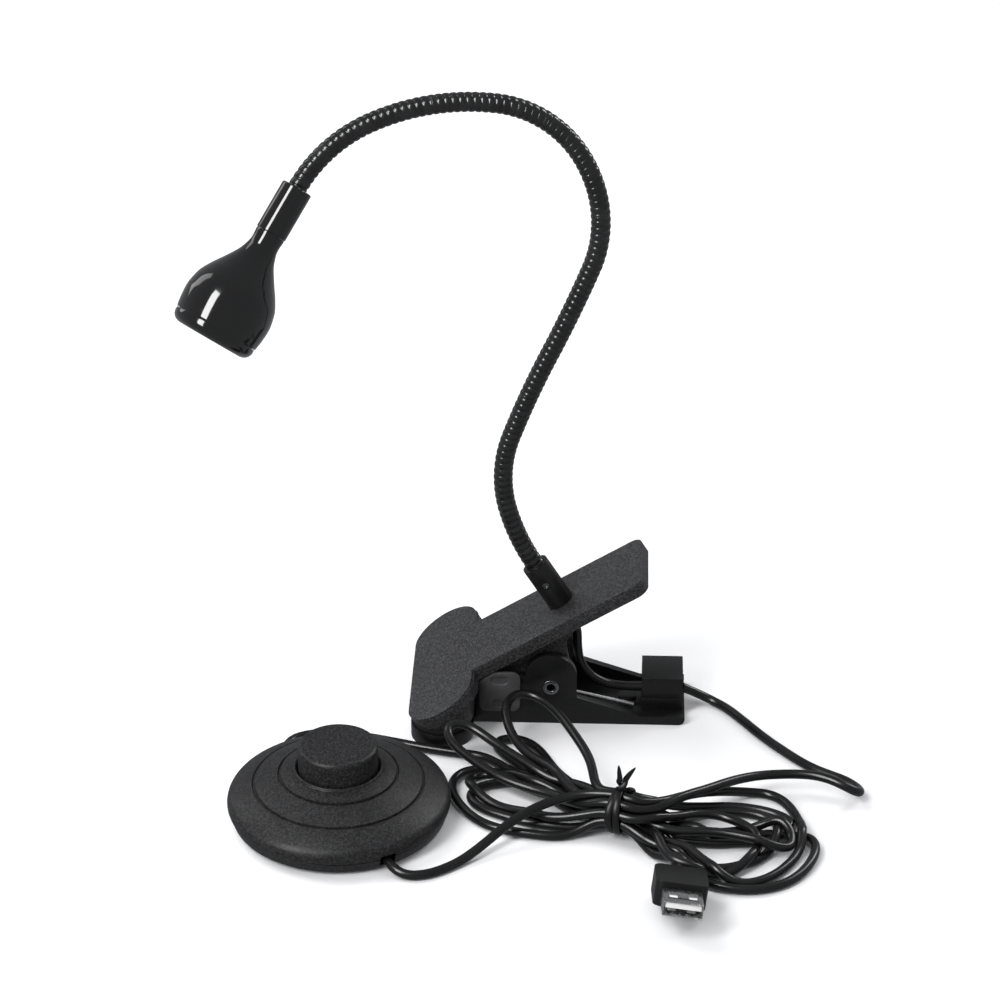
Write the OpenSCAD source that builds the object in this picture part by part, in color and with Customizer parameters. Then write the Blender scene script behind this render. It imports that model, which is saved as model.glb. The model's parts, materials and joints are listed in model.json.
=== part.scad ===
// Clip-on ultraviolet curing lamp: a spring clip carries a gooseneck with a bell-shaped
// head, and its cord runs through a foot switch to a USB plug.
// The origin is on the table under the pivot pin. X runs from the jaw to the handle.

/* [Clip] */
// Distance from the front edge of the jaws to the pivot
jaw_front = 46; // [44:0.5:48]
// Slope of the upper plate when the clip is shut
jaw_tilt = 32; // [30:0.5:33]
// Height of the upper plate's front edge
front_z = 8; // [7.8:0.1:8.4]
// Length of the upper plate
plate_len = 88; // [84:1:92]
// Width of the handle
handle_w = 30; // [30:0.5:32]
// Depth of the edge around the upper plate
skirt = 4.4; // [4:0.1:4.6]
// Width of the lower jaw across its side walls
lower_w = 27; // [27:0.25:28]
// Height of the pivot over the table
pivot_z = 13.5; // [13.2:0.1:13.8]

/* [Gooseneck] */
// Diameter of the gooseneck
neck_d = 6; // [5.6:0.1:6]
// Where the gooseneck's socket stands, from the plate's front edge
socket_s = 57.5; // [57:0.5:58]
// Height of the socket over the plate
socket_len = 16; // [15:0.5:17]

/* [Lamp head] */
// Length of the collar
collar_len = 16; // [15:0.5:18]
// Largest radius of the bell
bell_r = 14.4; // [14:0.1:15]
// Length of the bell from its collar to its mouth
bell_len = 37; // [36:0.5:39]

/* [Foot switch] */
// Radius of the housing
switch_r = 35; // [35:0.5:36]
// Diameter of the foot button
button_d = 25; // [24:0.1:25]
// How far the button stands over the table
button_top = 26.3; // [25.5:0.1:27]

/* [Cord] */
// Diameter of the cord
cord_d = 3; // [2.8:0.1:3]

/* [Hidden] */
$fn = 64;
wall = 2.5;
floor_t = 2;
plate_t = 2;
head_r = 12;
head_c = 20;
block_x = -35;
block_r = 10.2;
block_c = 20.4;
block_wall = 2;
part_z = 7.5;
lower_head_z = 5;
pad_gap = 0.2;
cheek_in = 8.4;
cheek_out = 10.6;
jaw_rear = 43.7;
ear_r = 8.4;
ear_z = 17.3;
rear_lip = 3;
pin_r = 2.2;
pin_head_r = 2.7;
pin_head_t = 0.8;
fit = 0.05;
run = 0.08;
slack = 0.6;

coil_r = 4.2;
wire_d = 1.4;
coil_turns = 5;
coil_half = 5.5;
leg_low = [27, 2.8];
leg_high_s = 74;

grip_x = [-23.4, -10];
grip_z = [4.8, 19.5];
grip_t = 1.1;
grip_corner = 2.6;

clamp_x = [29.6, 43];
clamp_half = 7.3;
clamp_top = 13.8;
clamp_split = 6.3;
clamp_screw_x = 36.3;
clamp_screw_y = 4.7;

socket_r = 4.4;
socket_floor = 4;
stub_r = 2.5;
stub_len = 6.5;
lead_bore = 1.6;
ball_r = neck_d/2 + 0.15;
cup_r = ball_r + 0.1;
// One row for each stretch of the gooseneck: its length, its bend and its roll in degrees
neck = [
    [22, -17, 0], [27, -34.5, 0], [32, -5.5, 0], [32, 4, 0],
    [37, 52, -9], [33, 53, 15], [39, 30, 8], [30, 36, 11.5]
];
tail_len = 9;

collar_r = 4.9;
shell_t = 1.2;
seam_u = 33;
mouth_r = 11;
rim_round = 2.6;
board_u = 26;

switch_at = [-65, -69, 0];
seam_z = 4.8;
foot_t = 1;
base_floor = 1.6;
port_angle = [-60, 120];
port_z = 3.9;
port_w = 5.2;
port_h = 3.8;
button_gap = 0.25;
press = 3;
body_top = 9.8;
plunger_r = 2.5;
post_r = 2.2;
post_at = 27.5;
post_angles = [30, 150, 270];

plug_at = [41.4, -122.5, 9.1];
plug_turn = -88;
plug_pitch = 15;
plug_roll = -8;
mould = [16, 16, 8];
shell = [12, 12, 4.5];
shell_wall = 0.3;
relief_len = 12;

waist_at = [23, -75.5, 8];
waist_turn = -20;
waist_r = 7;
waist_len = 15;
tie_w = 2.4;
cord_sides = 8;

inner_lead_path = [
    [6.3, 0, 32.8], [7.4, 0, 30.5], [8.2, 0, 26.5], [8.4, 0, 21.5], [9, 0, 17], [10.8, 0, 12.8],
    [14, 0, 9.4], [18.6, 0, 7.2], [24, 0, 6.4], [29.6, 0, 6.3], [43, 0, 6.3]
];
lamp_lead_path = [
    [43, 0, 6.3], [46, 0.4, 5.4], [50, 0.6, 3.3], [55, -2, 1.7], [61.5, -10.5, 1.6], [69.5, -22.5, 1.6],
    [77.5, -32.5, 1.6], [84, -39.5, 1.6], [90, -44, 1.6], [96, -46.5, 1.6], [98.8, -49.5, 1.6],
    [97.5, -52.5, 1.6], [93.5, -52, 1.6], [89, -49, 1.6], [84, -46, 2], [79, -45.5, 2.6],
    [73, -47, 3], [61.5, -51.5, 4], [50, -60, 5], [39, -68.5, 7.5], [29, -73.5, 10]
];
front_lead_path = [
    [-50.3, -94.5, 3.9], [-47.2, -99.8, 3.9], [-45.2, -102.4, 2.6], [-41, -103.8, 1.6],
    [-34.8, -102.4, 1.6], [-27.2, -96.8, 2], [-19.5, -89.7, 4], [-12, -82.5, 7],
    [-4, -77, 9.5], [6.5, -73, 11.5], [18, -73, 12]
];
rear_lead_path = [
    [-79.7, -43.5, 3.9], [-82.8, -38.2, 3.9], [-85, -33, 2.2], [-82.5, -27.5, 1.6], [-75, -24.8, 1.6],
    [-66, -25, 1.6], [-57, -27, 1.6], [-48.5, -29.5, 1.6], [-40, -32.2, 1.6], [-32.5, -34, 1.6],
    [-25.5, -36, 1.6], [-18, -39, 1.6]
];
loop_high_path = [
    [19, -71.5, 11], [14, -64, 10.5], [13, -50, 10.8], [7, -34.5, 11.5], [1, -24, 13], [-4.5, -18.8, 14],
    [-10, -17.2, 14.5], [-13.8, -21.8, 14.2], [-14, -29, 13], [-11.5, -38, 11], [-6.5, -46, 9.6],
    [1, -54, 9], [9, -65, 7.8], [18, -74, 6.5]
];
loop_low_path = [
    [18, -70, 8], [9.5, -60, 7.6], [1, -56, 8.2], [-5, -51.5, 8.6], [-16, -42.5, 10.2], [-24.5, -36, 12.6],
    [-28.5, -34.8, 14], [-31.5, -35.3, 14.3], [-33, -38, 13.4], [-32, -41.2, 12], [-29, -44.6, 10.5],
    [-21, -52, 8.6], [-12.5, -58.5, 7.6], [0.5, -65, 7.4], [16, -77, 7.6]
];
plug_lead_path = [[40.6, -98.3, 2.6], [40.5, -95.5, 1.9], [40.2, -91.5, 1.6], [39.5, -87, 1.7]];

steel = "#b9bcc0";
plastic = "#1d1d20";
gloss = "#0b0b0d";
grey_rubber = "#6f6c72";
white = "#e9e9ea";

function unit(v) = v/norm(v);
function plate_x(s, t) = -jaw_front + s*cos(jaw_tilt) - t*sin(jaw_tilt);
function plate_z(s, t) = front_z + s*sin(jaw_tilt) + t*cos(jaw_tilt);
function plate_point(s, t) = [plate_x(s, t), plate_z(s, t)];
function arc(centre, r, from, to, n = 8) =
    [for (i = [0:n]) centre + r*[cos(from + (to - from)*i/n), sin(from + (to - from)*i/n)]];

// Directions along a path, and a sideways direction at each point that never twists
function tangent(p, i) = unit(p[min(i + 1, len(p) - 1)] - p[max(i - 1, 0)]);
function square_to(v, t) = unit(v - (v*t)*t);
function side_start(t) = square_to(abs(t[2]) < 0.9 ? [0, 0, 1] : [1, 0, 0], t);
function sides(p) =
    [for (i = 0, u = side_start(tangent(p, 0)); i < len(p);
          i = i + 1, u = i < len(p) ? square_to(u, tangent(p, i)) : u) u];

// A closed tube along a path
module tube(path, d, n = cord_sides) {
    u = sides(path);
    rings = [for (i = [0:len(path) - 1], k = [0:n - 1])
        path[i] + d/2*(cos(360*k/n)*u[i] + sin(360*k/n)*cross(tangent(path, i), u[i]))];
    last = (len(path) - 1)*n;
    skin = [for (i = [0:len(path) - 2], k = [0:n - 1], h = [0, 1])
        h == 0 ? [i*n + k, (i + 1)*n + k, i*n + (k + 1)%n]
               : [i*n + (k + 1)%n, (i + 1)*n + k, (i + 1)*n + (k + 1)%n]];
    start_cap = [for (k = [0:n - 1]) k];
    end_cap = [for (k = [n - 1:-1:0]) last + k];
    polyhedron(rings, concat(skin, [start_cap, end_cap]));
}

// An outline drawn in X and Z, given its thickness between two values of Y
module across(y0, y1) translate([0, y1, 0]) rotate([90, 0, 0]) linear_extrude(y1 - y0) children();

module on_plate(s, t)
    translate([-jaw_front, 0, front_z]) rotate([0, -jaw_tilt, 0]) translate([s, 0, t]) children();

module under_plate(t) on_plate(-20, t - 50) translate([0, -40, 0]) cube([130, 80, 50]);

module rounded(x0, x1, y0, y1, r) {
    translate([x0 + r, y0]) square([x1 - x0 - 2*r, y1 - y0]);
    translate([x0, y0 + r]) square([x1 - x0, y1 - y0 - 2*r]);
    for (x = [x0 + r, x1 - r], y = [y0 + r, y1 - r]) translate([x, y]) circle(r);
}

module capsule(x, half, r) {
    for (y = [-half, half]) translate([x, y]) circle(r);
    translate([x - r, -half]) square([2*r, 2*half]);
}

// ---- Clip ----

module side_profile() {
    polygon(concat(
        [[block_x + block_r + slack/2, 0], [jaw_rear - 2.2, 0]],
        arc([jaw_rear - 2.2, 2.2], 2.2, -90, 0),
        [[jaw_rear, rear_lip], [29, rear_lip], [ear_r, 10], [ear_r, ear_z]],
        [[-ear_r, ear_z], [-ear_r - 1, 18], [-19.5, 18]],
        [plate_point(23, -skirt - slack), [block_x + block_r + slack/2, 15]]));
    translate([0, ear_z]) circle(ear_r);
}

module lower_jaw() color(plastic) difference() {
    union() {
        difference() {
            across(-lower_w/2, lower_w/2) side_profile();
            translate([-26, wall - lower_w/2, floor_t]) cube([73, lower_w - 2*wall, 40]);
        }
        linear_extrude(lower_head_z) capsule(block_x, block_c, block_r);
        translate([block_x, -lower_w/2, 0]) cube([14, lower_w, floor_t]);
        translate([24.9, 0, 1]) cylinder(r = 3, h = 2.2);
    }
    translate([0, 0, pivot_z]) rotate([90, 0, 0]) cylinder(r = pin_r, h = 40, center = true);
    for (side = [-1, 1])
        translate([0, side*(lower_w/2 + 2 - pin_head_t), pivot_z]) rotate([90, 0, 0])
            cylinder(r = pin_head_r, h = 4, center = true);
    for (side = [-1, 1]) translate([clamp_screw_x, side*clamp_screw_y, 0]) {
        translate([0, 0, -1]) cylinder(r = 1, h = 9);
        translate([0, 0, -1]) cylinder(r = 2, h = 2);
    }
}

module cheek_outline() {
    polygon([
        plate_point(24.6, -1.5), plate_point(71, -1.5), plate_point(70.4, -skirt),
        [8, 34.3], [4.8, 29.5], [5.2, 25], [6.9, 18], [6.9, pivot_z], [3, 7.6], [-25, 7.6], [-25, 16]
    ]);
    translate([0, pivot_z]) circle(6.9);
}

module head_block() difference() {
    intersection() {
        translate([0, 0, part_z]) linear_extrude(25) capsule(block_x, block_c, block_r);
        under_plate(-1);
    }
    intersection() {
        translate([0, 0, part_z - 1]) linear_extrude(25)
            capsule(block_x, block_c, block_r - block_wall);
        under_plate(-skirt);
    }
}

module plate() difference() {
    on_plate(0, -skirt) linear_extrude(skirt) {
        translate([head_r, 0]) circle(head_r);
        capsule(head_r, head_c, head_r);
        rounded(head_r, plate_len, -handle_w/2, handle_w/2, 4);
    }
    on_plate(26, -skirt - 1) translate([0, 2 - handle_w/2, 0])
        cube([plate_len - 28, handle_w - 4, skirt - plate_t + 1]);
    translate([-60, -50, part_z - 20]) cube([45, 100, 20]);
}

module upper_jaw() color(plastic) difference() {
    union() {
        plate();
        head_block();
        across(-cheek_out, -cheek_in) cheek_outline();
        across(cheek_in, cheek_out) cheek_outline();
    }
    translate([0, 0, pivot_z]) rotate([90, 0, 0])
        cylinder(r = pin_r + run, h = 40, center = true);
    on_plate(socket_s, -10) cylinder(r = stub_r, h = 12);
}

module lower_pad() color("#2b2a2d")
    translate([0, 0, lower_head_z]) linear_extrude(part_z - pad_gap - lower_head_z)
        capsule(block_x, block_c, block_r - 0.6);

module upper_pad() color("#2b2a2d") translate([0, 0, part_z]) linear_extrude(1.2)
    intersection() {
        capsule(block_x, block_c, block_r - block_wall);
        translate([-36.2, -40]) square([20, 80]);
    }

module grip_outline() difference() {
    rounded(grip_x[0], grip_x[1], grip_z[0], grip_z[1], grip_corner);
    polygon([plate_point(10, -skirt - slack), plate_point(50, -skirt - slack),
             plate_point(50, 10), plate_point(10, 10)]);
}

module grip_oval(z) {
    for (x = [-18, -15.4]) translate([x, z]) circle(1.5);
    translate([-18, z - 1.5]) square([2.6, 3]);
}

module side_grip() difference() {
    across(-lower_w/2 - grip_t, -lower_w/2) grip_outline();
    across(-lower_w/2 - grip_t - 1, -lower_w/2 - grip_t + 0.5) grip_oval(7.8);
    across(-lower_w/2 - grip_t - 1, -lower_w/2 - grip_t + 0.5) grip_oval(16.4);
}

module side_grip_near() color(grey_rubber) side_grip();

module side_grip_far() color(grey_rubber) mirror([0, 1, 0]) side_grip();

module pivot_pin() color(steel) difference() {
    translate([0, 0, pivot_z]) rotate([90, 0, 0]) union() {
        cylinder(r = pin_r - fit/2, h = lower_w, center = true);
        for (side = [-1, 1])
            translate([0, 0, side*(lower_w/2 - pin_head_t/2)])
                cylinder(r = pin_head_r - fit, h = pin_head_t, center = true);
    }
    translate([0, 0, pivot_z]) rotate([90, 0, 0]) cylinder(r = 1.4, h = 40, center = true);
}

// The wire comes in along the lower leg, winds round the pin and leaves along the upper leg
leg_high = plate_point(leg_high_s, -plate_t - wire_d/2 - 0.1);
hub = [0, pivot_z];
turn_in = atan2(leg_low[1] - pivot_z, leg_low[0]) - acos(coil_r/norm(leg_low - hub));
turn_out = atan2(leg_high[1] - pivot_z, leg_high[0]) + acos(coil_r/norm(leg_high - hub));
sweep_angle = 360*coil_turns + (360 + turn_in - turn_out)%360;
coil_points = 88;

module torsion_spring() color(steel) {
    coil = [for (i = [0:coil_points])
        let (a = turn_in - sweep_angle*i/coil_points)
        [coil_r*cos(a), -coil_half + 2*coil_half*i/coil_points, pivot_z + coil_r*sin(a)]];
    lower_end = [leg_low[0], -coil_half, leg_low[1]];
    upper_end = [leg_high[0], coil_half, leg_high[1]];
    tube(concat([lower_end], coil, [upper_end]), wire_d);
}

module clamp_half_block(z0, z1)
    translate([clamp_x[0], -clamp_half, z0])
        cube([clamp_x[1] - clamp_x[0], 2*clamp_half, z1 - z0]);

module clamp_cuts() {
    translate([0, 0, clamp_split]) rotate([0, 90, 0]) cylinder(r = cord_d/2 + fit, h = 60);
    for (side = [-1, 1]) translate([clamp_screw_x, side*clamp_screw_y, 0])
        cylinder(r = 1, h = 11);
}

module cord_clamp_base() color(plastic) difference() {
    clamp_half_block(floor_t, clamp_split);
    clamp_cuts();
}

module cord_clamp_cap() color(plastic) difference() {
    clamp_half_block(clamp_split, clamp_top);
    clamp_cuts();
}

module cord_clamp_screws() color(steel)
    for (side = [-1, 1]) translate([clamp_screw_x, side*clamp_screw_y, 0]) {
        translate([0, 0, 0.2]) cylinder(r = 2 - fit, h = 0.8);
        translate([0, 0, 0.2]) cylinder(r = 1 - fit, h = 10.6);
    }

// ---- Gooseneck ----

module neck_socket() color(plastic) on_plate(socket_s, 0) difference() {
    union() {
        cylinder(r = socket_r, h = socket_len);
        translate([0, 0, -stub_len]) cylinder(r = stub_r - fit, h = stub_len + 1);
    }
    translate([0, 0, socket_floor]) cylinder(r = neck_d/2 + fit, h = 20);
    translate([0, 0, -10]) cylinder(r = lead_bore, h = 20);
    translate([0, 0, 9]) rotate([90, 0, 0]) cylinder(r = 1.25, h = 10);
}

module socket_nut() color(steel) on_plate(socket_s, -plate_t - 2.2) difference() {
    cylinder(r = 4.2, h = 2.2, $fn = 6);
    translate([0, 0, -1]) cylinder(r = stub_r, h = 5);
}

module socket_screw() color(steel) on_plate(socket_s, 9) rotate([90, 0, 0])
    translate([0, 0, neck_d/2 + 2*fit]) difference() {
        cylinder(r = 1.2, h = 0.9);
        translate([0, 0, 0.4]) cylinder(r = 0.6, h = 1, $fn = 6);
    }

module inner_lead() color(gloss) tube(inner_lead_path, cord_d);

module past_arc(stretch) {
    r = stretch[0]/(stretch[1]*PI/180);
    rotate([stretch[2], 0, 0]) translate([r*sin(stretch[1]), r*(1 - cos(stretch[1])), 0])
        rotate([0, 0, stretch[1]]) children();
}

module at_neck(i) {
    if (i == 0)
        on_plate(socket_s, socket_len) rotate([0, -90, 0]) rotate([90, 0, 0]) children();
    else
        at_neck(i - 1) past_arc(neck[i - 1]) children();
}

module bent_rod(stretch) {
    r = abs(stretch[0]/(stretch[1]*PI/180));
    rotate([stretch[2], 0, 0]) mirror([0, stretch[1] < 0 ? 1 : 0, 0])
        translate([0, r, 0]) rotate([0, 0, -90])
            rotate_extrude(angle = abs(stretch[1])) translate([r, 0]) circle(neck_d/2);
}

// Stretch i, counted from 1: a cup at its start and a ball at its end
module neck_stretch(i) color(gloss) at_neck(i - 1) {
    difference() {
        bent_rod(neck[i - 1]);
        if (i > 1) sphere(cup_r);
    }
    if (i == 1) rotate([0, -90, 0]) cylinder(d = neck_d, h = socket_len - socket_floor);
    if (i < len(neck)) past_arc(neck[i - 1]) sphere(ball_r);
    if (i == len(neck)) past_arc(neck[i - 1]) translate([-0.5, 0, 0]) rotate([0, 90, 0])
        cylinder(d = neck_d - fit, h = tail_len + 0.5);
}

module neck_1() neck_stretch(1);
module neck_2() neck_stretch(2);
module neck_3() neck_stretch(3);
module neck_4() neck_stretch(4);
module neck_5() neck_stretch(5);
module neck_6() neck_stretch(6);
module neck_7() neck_stretch(7);
module neck_8() neck_stretch(8);

// ---- Lamp head: its own Z runs from the collar's end to the mouth ----

module on_head(u) at_neck(len(neck)) rotate([0, 90, 0]) translate([0, 0, u]) children();

module head_collar() color(gloss) on_head(0) difference() {
    cylinder(r = collar_r, h = collar_len);
    translate([0, 0, -1]) cylinder(d = neck_d + 2*fit, h = tail_len + 1 + fit);
    cylinder(r = lead_bore, h = 30);
    translate([0, 0, 5]) rotate([0, 90, 0]) cylinder(r = 1.05, h = 10);
}

module collar_screw() color(steel) on_head(5) rotate([0, 90, 0])
    translate([0, 0, neck_d/2 + 2*fit]) difference() {
        cylinder(r = 1, h = 1.3);
        translate([0, 0, 0.7]) cylinder(r = 0.5, h = 1, $fn = 6);
    }

// Radius of the bell at a distance from its collar: a neck, a flare and a gentle taper
flare_from = 3.5;
flare_to = 25;
function flare(u) = 0.5 - 0.5*cos(180*pow((u - flare_from)/(flare_to - flare_from), 0.92));
function bell_at(u) =
    u < flare_from ? collar_r - 0.35*u/flare_from :
    u < flare_to ? collar_r - 0.35 + (bell_r - collar_r + 0.35)*flare(u) :
    bell_r - 0.6*pow((u - flare_to)/(seam_u - flare_to), 2);
bell_steps = [for (u = [0:1.5:seam_u]) u];

module head_shell() color(gloss) on_head(collar_len) difference() {
    rotate_extrude() polygon(concat(
        [[0, 0]], [for (u = bell_steps) [bell_at(u), u]], [[bell_at(seam_u), seam_u]],
        [[bell_at(seam_u) - shell_t, seam_u]],
        [for (i = [len(bell_steps) - 1:-1:4]) [bell_at(bell_steps[i]) - shell_t, bell_steps[i]]],
        [[0, bell_steps[4]]]));
    translate([0, 0, -1]) cylinder(r = lead_bore, h = 20);
}

module head_bezel() color(gloss) on_head(collar_len) rotate_extrude() polygon(concat(
    [[mouth_r - 1, bell_len]],
    [[bell_at(seam_u) - shell_t - 0.1, seam_u - 2], [bell_at(seam_u) - shell_t - 0.1, seam_u]],
    [[bell_at(seam_u) - 0.1, seam_u]],
    arc([bell_at(seam_u) - 0.1 - rim_round, bell_len - rim_round], rim_round, 0, 90)));

module head_lens() color("#c9cfe8") on_head(collar_len + 33.2) cylinder(r = 10.2, h = 2);

module reflector() color(steel) on_head(collar_len) rotate_extrude() polygon([
    [8.4, board_u + 1.6], [9.2, board_u + 1.6], [10.2, 33.2], [9.6, 33.2]
]);

module led_board() color(white) on_head(collar_len + board_u) difference() {
    cylinder(r = 11.4, h = 1.6);
    translate([0, 0, -1]) cylinder(r = 1.2, h = 4);
}

module led_emitters() color("#d8d2f0") on_head(collar_len + board_u + 1.6)
    for (a = [90, 210, 330]) rotate([0, 0, a]) translate([4.6, 0, 0]) {
        translate([-1.75, -1.75, 0]) cube([3.5, 3.5, 1]);
        translate([0, 0, 1]) cylinder(r1 = 1.5, r2 = 0.9, h = 0.9);
    }

module heat_sink() color(steel) on_head(collar_len) difference() {
    union() {
        translate([0, 0, board_u - 2]) cylinder(r = 11.4, h = 2);
        for (a = [0:45:315]) rotate([0, 0, a])
            translate([3, -0.5, board_u - 8]) cube([5, 1, 6.5]);
    }
    translate([0, 0, board_u - 10]) cylinder(r = 1.6, h = 12);
}

// ---- Cord ----

module lamp_lead() color(gloss) tube(lamp_lead_path, cord_d);
module front_lead() color(gloss) tube(front_lead_path, cord_d);
module rear_lead() color(gloss) tube(rear_lead_path, cord_d);
module plug_lead() color(gloss) tube(plug_lead_path, cord_d);
module loop_high() color(gloss) tube(loop_high_path, cord_d);
module loop_low() color(gloss) tube(loop_low_path, cord_d);

module at_waist() translate(waist_at) rotate([0, 0, waist_turn]) children();

// The loops of the hank lie flat on both sides of the tie
module fan(from, r0, to, r1, height) linear_extrude(height) hull() {
    translate(from) circle(r0, $fn = 32);
    translate(to) circle(r1, $fn = 32);
}

module cord_hank() color(gloss) {
    fan([16, -73], 5, [-15, -61], 14, 5.5);
    fan([10, -66], 5, [-10, -40], 8, 5.5);
    fan([31, -79], 6, [66, -89], 17.5, 7.5);
    at_waist() rotate([0, 90, 0]) cylinder(r = waist_r, h = waist_len, center = true);
}

tie_tail = [for (i = [0:8]) let (a = 90*i)
    [0.7*cos(a), 0.7*sin(a), waist_r + 0.6 + 1.1*i]];

module twist_tie() color(gloss) at_waist() {
    rotate([0, 90, 0]) difference() {
        cylinder(r = waist_r + 0.8, h = tie_w, center = true);
        cylinder(r = waist_r + fit, h = tie_w + 1, center = true);
    }
    tube(tie_tail, 1.1, 6);
    mirror([1, 0, 0]) tube([for (p = tie_tail) [p[0], p[1] + 1.4, p[2] - 0.3]], 1.1, 6);
}

// ---- Plug: its own X points out of the shell ----

module at_plug(x = 0) translate(plug_at)
    rotate([0, 0, plug_turn]) rotate([0, -plug_pitch, 0]) rotate([plug_roll, 0, 0])
        translate([x, 0, 0]) children();

module plug_body() color(plastic) at_plug() difference() {
    translate([-mould[0], 0, -mould[2]/2]) linear_extrude(mould[2])
        rounded(0, mould[0], -mould[1]/2, mould[1]/2, 2.5);
    translate([-4, -shell[1]/2, -shell[2]/2]) cube([6, shell[1], shell[2]]);
}

module plug_relief() color(plastic) at_plug(-mould[0]) rotate([0, -90, 0]) difference() {
    cylinder(r1 = 3, r2 = 1.75, h = relief_len);
    translate([0, 0, relief_len - 3]) cylinder(d = cord_d + fit, h = 4);
}

module plug_shell() color(steel) at_plug(-4) difference() {
    translate([0, -shell[1]/2, -shell[2]/2]) cube([shell[0] + 4, shell[1], shell[2]]);
    translate([shell_wall, shell_wall - shell[1]/2, shell_wall - shell[2]/2])
        cube([30, shell[1] - 2*shell_wall, shell[2] - 2*shell_wall]);
    for (y = [-4.2, 1.7]) translate([9.6, y, -5]) cube([2.2, 2.5, 10]);
}

module plug_tongue() color(white) at_plug(-4 + shell_wall) translate([0, -5.5, 0.1])
    cube([shell[0] + 3.2, 11, shell[2]/2 - shell_wall - 0.1]);

module plug_contacts() color("#c9a44a") at_plug(-4 + shell_wall)
    for (y = [-3.5, -1, 1, 3.5]) translate([1, y - 0.5, -0.1])
        cube([abs(y) > 2 ? 12 : 11, 1, 0.2]);

// ---- Foot switch ----

module on_switch(z = 0) translate([switch_at[0], switch_at[1], z]) children();

module ports() for (a = port_angle) rotate([0, 0, a])
    translate([switch_r - 6, -port_w/2, port_z - port_h/2]) cube([10, port_w, port_h]);

module switch_base() color(plastic) on_switch() difference() {
    translate([0, 0, foot_t]) cylinder(r = switch_r - 0.4, h = seam_z - foot_t);
    translate([0, 0, foot_t + base_floor]) cylinder(r = switch_r - 2.6, h = 10);
    ports();
    for (a = post_angles) rotate([0, 0, a]) translate([post_at, 0, 0]) {
        cylinder(r = 1.1, h = 5);
        translate([0, 0, -1]) cylinder(r = 2.1, h = foot_t + 1.8);
    }
}

module switch_cover() color(plastic) on_switch() difference() {
    union() {
        rotate_extrude($fn = 128) polygon(concat(
            [[switch_r, seam_z]], arc([switch_r - 2.6, 7.3], 2.6, 0, 70),
            [[26.6, 12.7], [26.4, 13.1], [18.6, 16], [18.4, 16.5], [14.3, 17.9]],
            [[13.9, 18.3], [13.2, 18.3], [button_d/2 + button_gap, 17.8]],
            [[button_d/2 + button_gap, 15.6], [17.6, 14.2], [25.8, 11], [31.6, 8.4]],
            [[switch_r - 2.2, 7], [switch_r - 2.2, seam_z]]));
        for (a = post_angles) rotate([0, 0, a]) translate([post_at, 0, foot_t + base_floor])
            cylinder(r = post_r, h = 8.4);
    }
    ports();
    for (a = post_angles) rotate([0, 0, a]) translate([post_at, 0, 0]) cylinder(r = 0.9, h = 8.5);
}

module switch_button() color(plastic) on_switch() rotate_extrude() polygon(concat(
    [[0, button_top]], arc([button_d/2 - 1.2, button_top - 1.2], 1.2, 90, 0),
    [[button_d/2, 15], [button_d/2 + 1.8, 15], [button_d/2 + 1.8, 13.6]],
    [[button_d/2 - 1.8, 13.6], [button_d/2 - 1.8, button_top - 1.8], [0, button_top - 1.8]]));

module switch_plunger() color(white) on_switch(body_top - 1)
    cylinder(r = plunger_r, h = button_top - 1.8 - body_top + 1);

spring_turns = 6;
spring_r = 4.4;

module switch_spring() color(steel) on_switch() tube([for (i = [0:spring_turns*12])
    [spring_r*cos(30*i), spring_r*sin(30*i),
     body_top + 0.5 + (button_top - 2.8 - body_top)*i/(spring_turns*12)]], 0.8, 6);

module switch_body() color("#8b2b22") on_switch() difference() {
    translate([-9, -6, foot_t + base_floor]) cube([18, 12, body_top - foot_t - base_floor]);
    translate([0, 0, body_top - 5]) cylinder(r = plunger_r + 0.1, h = 6);
}

module switch_terminals() color("#c9a44a") on_switch()
    for (side = [-1, 1]) translate([side*11 - 2, -1.2, 4]) cube([4, 2.4, 0.5]);

module switch_screws() color(steel) on_switch()
    for (a = post_angles) rotate([0, 0, a]) translate([post_at, 0, foot_t]) {
        cylinder(r = 2, h = 0.8);
        cylinder(r = 0.9, h = 7.2);
    }

module switch_feet() color("#2b2a2d") on_switch()
    for (a = [0:90:270]) rotate([0, 0, a]) translate([23, 0, 0]) cylinder(r = 4, h = foot_t);

module switch_clamps() color(white) on_switch() difference() {
    for (a = port_angle) rotate([0, 0, a]) translate([25, -4, foot_t + base_floor])
        cube([5, 8, 3.6]);
    for (a = port_angle) rotate([0, 0, a]) translate([20, 0, port_z]) rotate([0, 90, 0])
        cylinder(r = cord_d/2 + fit, h = 20);
}

lower_jaw();
upper_jaw();
lower_pad();
upper_pad();
side_grip_near();
side_grip_far();
pivot_pin();
torsion_spring();
cord_clamp_base();
cord_clamp_cap();
cord_clamp_screws();
neck_socket();
socket_nut();
socket_screw();
inner_lead();
neck_1();
neck_2();
neck_3();
neck_4();
neck_5();
neck_6();
neck_7();
neck_8();
head_collar();
collar_screw();
head_shell();
head_bezel();
head_lens();
reflector();
led_board();
led_emitters();
heat_sink();
lamp_lead();
front_lead();
rear_lead();
plug_lead();
loop_high();
loop_low();
cord_hank();
twist_tie();
plug_body();
plug_relief();
plug_shell();
plug_tongue();
plug_contacts();
switch_base();
switch_cover();
switch_button();
switch_plunger();
switch_spring();
switch_body();
switch_terminals();
switch_screws();
switch_feet();
switch_clamps();
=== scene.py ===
"""Looks of a clip-on curing lamp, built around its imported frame.

Lengths are written in millimetres and turned into metres by mm().
X runs from the jaws to the handle, Y away from the camera, Z up from the table.
"""

import json
import math

import bmesh
import bpy
import numpy as np
from mathutils import Matrix, Vector


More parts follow.
